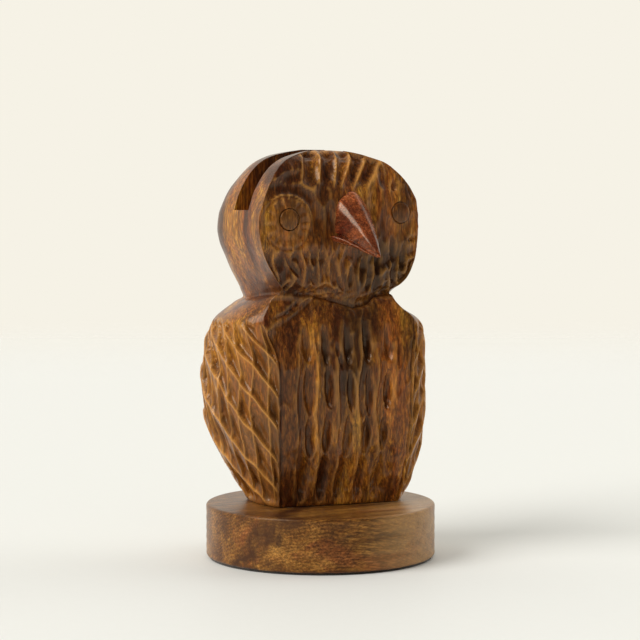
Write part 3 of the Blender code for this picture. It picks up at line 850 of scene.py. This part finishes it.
def split_outward(points):
    """Triangles of a closed grid, each quad split along the diagonal that stands further out."""
    rows, cols = points.shape[:2]
    index = np.arange(rows * cols).reshape(rows, cols)
    a, d = index[:-1], index[1:]
    b, c = np.roll(a, -1, axis=1), np.roll(d, -1, axis=1)
    flat = points.reshape(-1, 3)
    outward_way = np.cross(flat[c] - flat[a], flat[d] - flat[b])
    stands = ((flat[a] + flat[c] - flat[b] - flat[d]) * outward_way).sum(axis=2) > 0
    one = np.where(stands[:, :, None], np.stack((a, b, c), axis=2), np.stack((a, b, d), axis=2))
    two = np.where(stands[:, :, None], np.stack((a, c, d), axis=2), np.stack((b, c, d), axis=2))
    faces = np.concatenate((one.reshape(-1, 3), two.reshape(-1, 3))).tolist()
    return faces + [index[0][::-1].tolist(), index[-1].tolist()]


# dark wood on the breast and painted shade on the face: centre, half width, half height and strength
DARK_WOOD_AND_SHADE_SPOTS = ((4.0, 80.0, 6.0, 18.0, 1.4), (-7.0, 76.0, 2.6, 10.0, 0.7), (12.0, 88.0, 2.5, 8.0, 0.6),
               (3.0, 45.0, 3.0, 14.0, 0.35), (-2.0, 64.0, 6.0, 5.0, 0.4), (20.0, 107.0, 10.0, 10.0, 1.4),
               (-20.0, 106.0, 9.0, 6.0, 0.6), (-6.0, 128.0, 4.0, 9.0, 0.5), (8.0, 104.0, 9.0, 6.0, 0.5),
               (-14.0, 136.0, 7.0, 5.0, 0.45))


def dark_wood_and_face_shade(moved):
    """How dark each point is, on the breast and the face only: dark wood on the breast, painted shade on the
    cheeks, under the beak and on the brow.
    """
    x, z = moved[:, :, 0], moved[:, :, 2]
    front = fade(moved[:, :, 1], -14.0, -4.0)
    amount = np.zeros(x.shape)
    for cx, cz, wide, tall, strength in DARK_WOOD_AND_SHADE_SPOTS:
        amount = amount + strength * np.exp(-((x - cx) / wide) ** 2 - ((z - cz) / tall) ** 2)
    return np.clip(amount, 0.0, 0.85) * front


SLOT_REACH = 0.06
SLOT_EASE = 0.0002
SLOT_CUT_TOP = 0.16
HOLE_FRONT = -24.0


def build_owl():
    """Carved block with the temple slot and the two eye holes cut out of it."""
    moved, hollow, crest = carved_points()
    vertices = (moved.reshape(-1, 3) * MM).tolist()
    owl = mesh_object("carved_owl", vertices, split_outward(moved))
    slot_low, slot_high = frame["record"]["physics"]["openings"][0]["box_m"]
    holes = [box_object("slot", (-SLOT_REACH, slot_low[1] - SLOT_EASE, slot_low[2] - SLOT_EASE),
                        (SLOT_REACH, slot_high[1] + SLOT_EASE, SLOT_CUT_TOP))]
    for name in ("eye_plug_left", "eye_plug_right"):
        low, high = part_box(name)
        radius = (high[0] - low[0]) / 2 / MM + PLUG_GAP
        ends = ((radius, HOLE_FRONT), (radius, high[1] / MM + CLEARANCE))
        holes.append(revolve("hole_" + name, ends, 64, eye_centre(name), True))
    subtract(owl, holes)
    shade(owl, 50.0)
    # values for the painted shade in cuts, the wear with painted highlight, and the dark wood with painted
    # face shade
    paint(owl, vertices, {"hollow": hollow.ravel(), "crest": crest.ravel(),
                          "heart_and_face_shade": dark_wood_and_face_shade(moved).ravel()})
    return owl


BEAK_ROOT = ((4.2, 135.2), (-2.6, 130.6), (-3.0, 120.1), (-1.4, 118.9), (-5.2, 118.9), (-3.6, 116.6),
             (4.4, 114.8), (11.4, 118.4), (9.8, 129.4))
BEAK_CENTRE = (3.7, 123.6)
BEAK_SINK = 1.0
BEAK_TIP_X = 4.8
BEAK_ROWS = 46
BEAK_CROWDING = 0.85
BEAK_TAPER = 0.8
BEAK_BLUNTNESS = 0.03
BEAK_DROOP = 1.25
BEAK_CHIPS = 0.12
SKIN = 0.1


def build_beak():
    """Hooked wedge: its root outline shrinks along a drooping line to the tip."""
    face_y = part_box("eye_plug_left")[0][1] / MM + SKIN
    low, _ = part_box("beak_peg")
    tip_y, tip_z = low[1] / MM + SKIN, low[2] / MM + SKIN
    outline = round_outline(BEAK_ROOT, 3)
    centre_x, centre_z = BEAK_CENTRE
    vertices = []
    for i in range(-1, BEAK_ROWS):
        t = max(i / (BEAK_ROWS - 1), 0.0) ** BEAK_CROWDING
        shrink = (1.0 - t) ** BEAK_TAPER + BEAK_BLUNTNESS
        droop = t ** BEAK_DROOP
        y = face_y - CLEARANCE + (tip_y - face_y) * t + (BEAK_SINK if i < 0 else 0.0)
        for rx, rz in outline:
            x = centre_x + (rx - centre_x) * shrink + (BEAK_TIP_X - centre_x) * t
            z = centre_z + (rz - centre_z) * shrink + (tip_z - centre_z) * droop
            chip = BEAK_CHIPS * noise.noise(Vector((x, y, z)) * 0.5)
            vertices.append(((x + chip) * MM, y * MM, (z + chip) * MM))
    beak = tube("carved_beak", vertices, len(outline))
    shade(beak, 40.0)
    return beak


CORNER_CUT = 0.16


def round_outline(corners, times):
    """Cut each corner again and again, so a polygon becomes a soft closed outline."""
    points = [Vector(p) for p in corners]
    for _ in range(times):
        points = [q for a, b in zip(points, points[1:] + points[:1])
                  for q in (a.lerp(b, CORNER_CUT), a.lerp(b, 1 - CORNER_CUT))]
    return [tuple(p) for p in points]


PLUG_CROWN = 0.12
PLUG_DOME = 0.35
PLUG_EASE = 0.12
PLUG_BACK = 0.5


def build_plug(node_name, name):
    """Round dowel with a slightly domed face."""
    low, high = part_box(node_name)
    radius = (high[0] - low[0]) / 2 / MM
    front, back = low[1] / MM, high[1] / MM
    profile = [(radius * share, front - PLUG_CROWN + PLUG_DOME * share ** 4)
               for share in (0.04, 0.2, 0.4, 0.6, 0.8, 0.92)]
    profile += [(radius - PLUG_EASE, front + 0.22), (radius, front + 0.36), (radius, back - PLUG_BACK),
                (radius - PLUG_BACK, back)]
    plug = revolve(name, profile, 72, eye_centre(node_name), True)
    shade(plug, 60.0)
    return plug


RIM_EASE = 1.0
RIM_STEPS = 6
SIDE_STEPS = 24
TOOL_WAVER = 0.05


def build_plinth():
    """Turned base with eased rims and the slight waver of a hand-held tool."""
    low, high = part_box("base_plinth")
    radius, bottom, top = high[0] / MM, low[2] / MM, high[2] / MM
    inner = radius - RIM_EASE
    quarter = [math.pi / 2 * k / RIM_STEPS for k in range(RIM_STEPS + 1)]
    profile = [(r * radius, top) for r in (0.05, 0.2, 0.35, 0.5, 0.62, 0.74, 0.84, 0.91, 0.955)]
    profile += [(inner + RIM_EASE * math.sin(a), top - RIM_EASE + RIM_EASE * math.cos(a)) for a in quarter]
    for k in range(1, SIDE_STEPS):
        z = top - RIM_EASE - (top - bottom - 2 * RIM_EASE) * k / SIDE_STEPS
        profile.append((radius - TOOL_WAVER + TOOL_WAVER * math.sin(k * 1.3), z))
    profile += [(inner + RIM_EASE * math.cos(a), bottom + RIM_EASE - RIM_EASE * math.sin(a)) for a in quarter]
    profile += [(r * radius, bottom) for r in (0.8, 0.4, 0.05)]
    base = revolve("turned_plinth", profile, 180)
    shade(base, 50.0)
    return base


# ---- materials
PLAIN = (1.0, 1.0, 1.0)
NONE = (0.0, 0.0, 0.0)


class Nodes:
    """Short hand for the node tree of a material or of the room."""

    def __init__(self, owner, shader):
        owner.use_nodes = True
        self.owner = owner
        self.tree = owner.node_tree
        self.shader = self.tree.nodes[shader]

    def add(self, kind, settings=(), **inputs):
        node = self.tree.nodes.new("ShaderNode" + kind)
        for key, value in dict(settings).items():
            setattr(node, key, value)
        for key, value in inputs.items():
            self.put(node, key, value)
        return node

    def put(self, node, key, value):
        socket = node.inputs[int(key[1:])] if key[0] == "i" and key[1:].isdigit() else node.inputs[key]
        if isinstance(value, bpy.types.NodeSocket):
            self.tree.links.new(value, socket)
        else:
            socket.default_value = value

    def surface(self, key, value):
        self.put(self.shader, key, value)

    def math(self, operation, a, b=0.0):
        return self.add("Math", {"operation": operation}, i0=a, i1=b).outputs[0]

    def times(self, a, b):
        return self.math("MULTIPLY", a, b)

    def dot(self, vector, direction):
        node = self.add("VectorMath", {"operation": "DOT_PRODUCT"}, i0=vector, i1=tuple(direction))
        return node.outputs["Value"]

    def span(self, value, low, high, to_low=0.0, to_high=1.0):
        node = self.add("MapRange", {"interpolation_type": "SMOOTHSTEP"}, i0=value, i1=low,
                        i2=high, i3=to_low, i4=to_high)
        return node.outputs[0]

    def stretched(self, scale=PLAIN, turn=NONE, shift=NONE):
        where = self.add("TexCoord").outputs["Object"]
        node = self.add("Mapping", Vector=where, Location=shift, Rotation=turn, Scale=scale)
        return node.outputs[0]

    def noise(self, vector, scale, detail=2.0, roughness=0.5, distortion=0.0):
        node = self.add("TexNoise", Vector=vector, Scale=scale, Detail=detail,
                        Roughness=roughness, Distortion=distortion)
        return node.outputs["Fac"]

    def ramp(self, value, stops):
        node = self.add("ValToRGB", Fac=value)
        ramp = node.color_ramp
        while len(ramp.elements) < len(stops):
            ramp.elements.new(0.5)
        for element, (place, colour) in zip(ramp.elements, stops):
            element.position = place
            element.color = (*colour, 1.0)
        return node.outputs["Color"]

    def mix(self, amount, a, b, blend="MIX"):
        node = self.add("Mix", {"data_type": "RGBA", "blend_type": blend})
        for key, value in (("i0", amount), ("i6", a), ("i7", b)):
            self.put(node, key, (*value, 1.0) if isinstance(value, tuple) else value)
        return node.outputs[2]

    def grey(self, value):
        return self.add("CombineColor", i0=value, i1=value, i2=value).outputs["Color"]

    def attribute(self, name):
        return self.add("Attribute", {"attribute_name": name}).outputs["Fac"]

    def bump(self, height, strength, distance):
        node = self.add("Bump", Height=height, Strength=strength, Distance=distance)
        return node.outputs[0]


def new_material(name):
    return Nodes(bpy.data.materials.new(name), "Principled BSDF")


# noises of the wood: scale, detail, roughness and distortion
BROAD = (62.0, 3.0, 0.55, 0.5)
PATCHES = (95.0, 3.0, 0.6, 0.6)
WARP = (38.0, 3.0, 0.55, 0.4)
FIBRES = (2100.0, 4.0, 0.7)
FIGURE = (150.0, 4.0, 0.6, 1.8)
REDNESS = (70.0, 3.0, 0.6, 1.0)
STREAKS = (58.0, 4.0, 0.66, 1.6)
VEINS = (105.0, 5.0, 0.62, 1.2)
GRIT = (1500.0, 3.0, 0.6)
PORES = (2900.0, 1.0, 0.4)
TONE_STOPS = (0.425, 0.48, 0.53, 0.595)
STREAK_LEVEL = (0.56, 0.70)
RED_TINT = (0.80, 0.52, 0.72)
# tint of the painted shade in cuts, and the pale tone of worn edges with painted highlight
HOLLOW_SHADE_TINT = (0.46, 0.31, 0.20)
WEAR_AND_HIGHLIGHT_TONE = (0.66, 0.31, 0.070)
DARK = (0.030, 0.010, 0.006)
FULL_TURN = 6.2832


def growth_layers(n, where, warp, direction, size, bend):
    """Waves from 0 to 1 across the growth layers, bent by the warp."""
    phase = n.math("ADD", n.times(n.dot(where, direction), FULL_TURN / (size * MM)),
                   n.times(warp, FULL_TURN * bend))
    return n.math("ADD", n.times(n.math("SINE", phase), 0.5), 0.5)


def add_band(n, colour, band, broad, figure):
    """Wide soft band of another tone: direction, place and half width in mm, tone and amount."""
    direction, place, half, tone, amount = band
    offset = n.dot(n.stretched(), direction)
    offset = n.math("ADD", offset, n.times(n.math("SUBTRACT", broad, 0.5), 0.05))
    offset = n.math("ABSOLUTE", n.math("SUBTRACT", offset, place * MM))
    strength = n.times(n.span(offset, 0.0, half * MM, 1.0, 0.0), n.span(figure, 0.35, 0.55, 0.7, 1.0))
    return n.mix(n.times(strength, amount), colour, tone)


def add_carved_tones(n, colour, broad):
    """Dark wood with painted shade on the face, painted shade in the cuts, and pale worn edges with painted
    highlight, from the painted amounts.
    """
    heart_and_face_shade = n.times(n.attribute("heart_and_face_shade"), n.span(broad, 0.40, 0.58, 0.25, 1.0))
    colour = n.mix(heart_and_face_shade, colour, tuple(c * 0.55 for c in DARK))
    colour = n.mix(n.times(n.attribute("hollow"), 0.75), colour, HOLLOW_SHADE_TINT, "MULTIPLY")
    return n.mix(n.times(n.attribute("crest"), 0.75), colour, WEAR_AND_HIGHLIGHT_TONE)


def wood(name, tones, grain=(1.0, 1.0, 0.07), turn=NONE, shift=NONE,
         gloss=0.36, coat=0.3, carved=False, layers=(0.8, 0.6, 0.0), layer_size=1.3, layer_warp=5.0,
         layer_weight=0.02, bands=()):
    """Varnished hardwood: growth layers, dark streaks, fibres and open pores along one axis."""
    n = new_material(name)
    along = n.stretched(grain, turn, shift)
    soft_grain = n.stretched(tuple(g ** 0.4 for g in grain), turn, shift)
    grit_grain = n.stretched(tuple(g ** 0.6 for g in grain), turn, shift)
    fibre_grain = n.stretched(tuple(g if g > 0.5 else g * 2.2 for g in grain), turn, shift)
    pore_grain = n.stretched(tuple(g if g > 0.5 else g * 0.8 for g in grain), turn, shift)
    broad, figure = n.noise(along, *BROAD), n.noise(along, *FIGURE)
    patches, fibres = n.noise(soft_grain, *PATCHES), n.noise(fibre_grain, *FIBRES)
    layer = growth_layers(n, n.stretched(PLAIN, turn, shift), n.noise(along, *WARP), layers,
                          layer_size, layer_warp)
    tone = n.times(broad, 0.26)
    for part, share in ((patches, 0.26), (figure, 0.20), (layer, layer_weight), (fibres, 0.22)):
        tone = n.math("ADD", tone, n.times(part, share))
    colour = n.ramp(tone, tuple(zip(TONE_STOPS, tones)))
    redness = n.span(n.noise(along, *REDNESS), 0.50, 0.66)
    colour = n.mix(n.times(redness, 0.75), colour, RED_TINT, "MULTIPLY")
    streaks = n.span(n.noise(along, *STREAKS), *STREAK_LEVEL)
    colour = n.mix(n.times(streaks, 0.8), colour, DARK)
    veins = n.math("ABSOLUTE", n.math("SUBTRACT", n.noise(along, *VEINS), 0.5))
    colour = n.mix(n.times(n.span(veins, 0.0, 0.018, 1.0, 0.0), 0.55), colour, DARK)
    grit = n.span(n.noise(grit_grain, *GRIT), 0.42, 0.60, 0.62, 1.20)
    colour = n.mix(1.0, colour, n.grey(grit), "MULTIPLY")
    pores = n.span(n.noise(pore_grain, *PORES), 0.60, 0.68)
    colour = n.mix(n.times(pores, 0.5), colour, tuple(c * 0.5 for c in DARK))
    for band in bands:
        colour = add_band(n, colour, band, broad, figure)
    if carved:
        colour = add_carved_tones(n, colour, broad)
    n.surface("Base Color", colour)
    n.surface("Roughness", n.math("ADD", n.times(fibres, 0.2), gloss - 0.1))
    n.surface("Normal", n.bump(n.math("SUBTRACT", n.times(fibres, 0.5), pores), 0.4, 0.00014))
    n.surface("Specular IOR Level", 0.4)
    n.surface("Specular Tint", (1.0, 0.66, 0.34, 1.0))
    n.surface("Coat Weight", coat)
    n.surface("Coat Roughness", 0.18)
    return n.owner


def felt():
    n = new_material("felt")
    fuzz = n.noise(n.stretched(), 2400.0, 3.0, 0.7)
    n.surface("Base Color", n.ramp(fuzz, ((0.3, (0.010, 0.009, 0.008)), (0.7, (0.05, 0.045, 0.04)))))
    n.surface("Normal", n.bump(fuzz, 0.6, 0.0003))
    n.surface("Roughness", 0.95)
    n.surface("Sheen Weight", 0.4)
    return n.owner


def steel():
    n = new_material("screw_steel")
    wear = n.noise(n.stretched((1.0, 1.0, 0.2)), 900.0, 3.0, 0.6)
    n.surface("Base Color", n.ramp(wear, ((0.3, (0.42, 0.36, 0.26)), (0.7, (0.70, 0.66, 0.56)))))
    n.surface("Roughness", n.span(wear, 0.3, 0.7, 0.25, 0.45))
    n.surface("Metallic", 1.0)
    return n.owner


# ---- studio
VIEW_TURN = math.radians(-31.0)
VIEW_RIGHT = Vector((math.cos(VIEW_TURN), math.sin(VIEW_TURN), 0.0))
VIEW_AWAY = Vector((-math.sin(VIEW_TURN), math.cos(VIEW_TURN), 0.0))
UP = Vector((0.0, 0.0, 1.0))
CAMERA_DISTANCE = 0.763
CAMERA_HEIGHT = 0.135
CAMERA_PITCH = math.radians(3.57)
FOCAL = 2074.0 * 36.0 / 640.0


def frame_matrix(right, up, back, place):
    return Matrix.Translation(place) @ Matrix((right, up, back)).transposed().to_4x4()


def build_camera():
    data = bpy.data.cameras.new("camera")
    data.lens = FOCAL
    data.sensor_width = 36.0
    data.clip_start = 0.01
    data.clip_end = 50.0
    data.shift_x = -0.5 / 640
    camera = link(bpy.data.objects.new("camera", data))
    ahead = VIEW_AWAY * math.cos(CAMERA_PITCH) - UP * math.sin(CAMERA_PITCH)
    up = VIEW_AWAY * math.sin(CAMERA_PITCH) + UP * math.cos(CAMERA_PITCH)
    place = -VIEW_AWAY * CAMERA_DISTANCE + UP * CAMERA_HEIGHT
    camera.matrix_world = frame_matrix(VIEW_RIGHT, up, -ahead, place)
    bpy.context.scene.camera = camera


def soft_sun(name, toward, strength, angle, colour, glossy=True):
    """Even soft light; toward is the direction from the stand to the light."""
    data = bpy.data.lights.new(name, "SUN")
    data.energy = strength
    data.angle = math.radians(angle)
    data.color = colour
    light = link(bpy.data.objects.new(name, data))
    back = toward.normalized()
    right = UP.cross(back).normalized()
    light.matrix_world = frame_matrix(right, back.cross(right), back, back)
    light.visible_glossy = glossy


def build_floor():
    far, near, side = 1.39, -14.0, 14.0
    corners = [VIEW_RIGHT * x + VIEW_AWAY * y for x, y in
               ((-side, near), (side, near), (side, far), (-side, far))]
    floor = mesh_object("floor", [tuple(c) for c in corners], [(0, 1, 2, 3)])
    n = new_material("floor_paint")
    grain = n.noise(n.stretched(), 260.0, 2.0, 0.5)
    depth = n.dot(n.stretched(), VIEW_AWAY)
    n.surface("Base Color", n.mix(grain, (0.755, 0.772, 0.765), (0.77, 0.787, 0.78)))
    n.surface("Alpha", n.span(depth, 0.7, far, 1.0, 0.0))
    n.surface("Roughness", 0.6)
    n.surface("Specular IOR Level", 0.2)
    floor.data.materials.append(n.owner)


def build_room():
    """Pale room behind and beside the stand, dimmer where the camera stands."""
    world = bpy.data.worlds.new("room")
    bpy.context.scene.world = world
    n = Nodes(world, "Background")
    ahead = n.dot(n.add("TexCoord").outputs["Generated"], VIEW_AWAY)
    n.surface("Strength", n.span(ahead, -0.15, 0.45, 0.05, 1.0))
    n.surface("Color", (0.922, 0.888, 0.791, 1.0))


def build_lights():
    soft_sun("key", -VIEW_RIGHT * 0.76 - VIEW_AWAY * 0.48 + UP * 0.62, 2.8, 42.0, (1.0, 0.965, 0.91))
    soft_sun("fill", -VIEW_AWAY * 0.9 + VIEW_RIGHT * 0.1 + UP * 0.45, 0.28, 80.0, (1.0, 0.96, 0.90), False)
    soft_sun("rim", VIEW_RIGHT * 0.95 + VIEW_AWAY * 0.30 + UP * 0.40, 0.7, 50.0, (1.0, 0.98, 0.94), False)
    soft_sun("sky", UP + VIEW_AWAY * 0.01, 0.60, 150.0, (1.0, 0.98, 0.93), False)


# ---- assembly
BODY_TONES = ((0.060, 0.014, 0.004), (0.175, 0.052, 0.008), (0.330, 0.126, 0.013), (0.60, 0.290, 0.034))
PLUG_TONES = ((0.090, 0.028, 0.006), (0.180, 0.062, 0.010), (0.28, 0.110, 0.017), (0.40, 0.18, 0.03))
BEAK_TONES = ((0.110, 0.022, 0.007), (0.250, 0.058, 0.015), (0.380, 0.100, 0.027), (0.54, 0.19, 0.07))
BASE_TONES = ((0.095, 0.032, 0.007), (0.190, 0.073, 0.014), (0.285, 0.125, 0.025), (0.42, 0.20, 0.045))


def dress(item, material, node_name):
    item.data.materials.clear()
    item.data.materials.append(material)
    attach(item, "root")
    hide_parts(node_name)


def main():
    bpy.context.scene.view_settings.view_transform = "Standard"
    body = wood("body_wood", BODY_TONES, carved=True)
    plug = wood("plug_wood", PLUG_TONES, grain=(1.0, 1.0, 0.09), shift=(0.3, 0.1, 0.2))
    beak = wood("beak_wood", BEAK_TONES, grain=(1.0, 0.3, 1.0), gloss=0.24, coat=0.5)
    base = wood("base_wood", BASE_TONES, grain=(0.10, 1.0, 1.0), turn=(0.0, 0.06, 0.55),
                coat=0.1, layers=(0.0, 0.5, 0.9), layer_size=1.2, layer_warp=9.0, layer_weight=0.045,
                bands=((VIEW_RIGHT - UP * 0.76, -26.5, 8.0, (0.045, 0.014, 0.006), 1.0),
                       # the second band is painted light: the base made paler on its right side, where light
                       # falls
                       (VIEW_RIGHT + UP * 0.3, 40.0, 22.0, (0.50, 0.30, 0.13), 0.5)))
    dress(build_owl(), body, "owl_carving")
    dress(build_beak(), beak, "beak_peg")
    dress(build_plug("eye_plug_left", "left_eye_plug"), plug, "eye_plug_left")
    dress(build_plug("eye_plug_right", "right_eye_plug"), plug, "eye_plug_right")
    dress(build_plinth(), base, "base_plinth")
    for name, material in (("felt_pad", felt()), ("fixing_screw_left", steel()),
                           ("fixing_screw_right", steel())):
        node = frame["nodes"][name]
        node.data.materials.clear()
        node.data.materials.append(material)
    build_floor()
    build_room()
    build_lights()
    build_camera()


main()
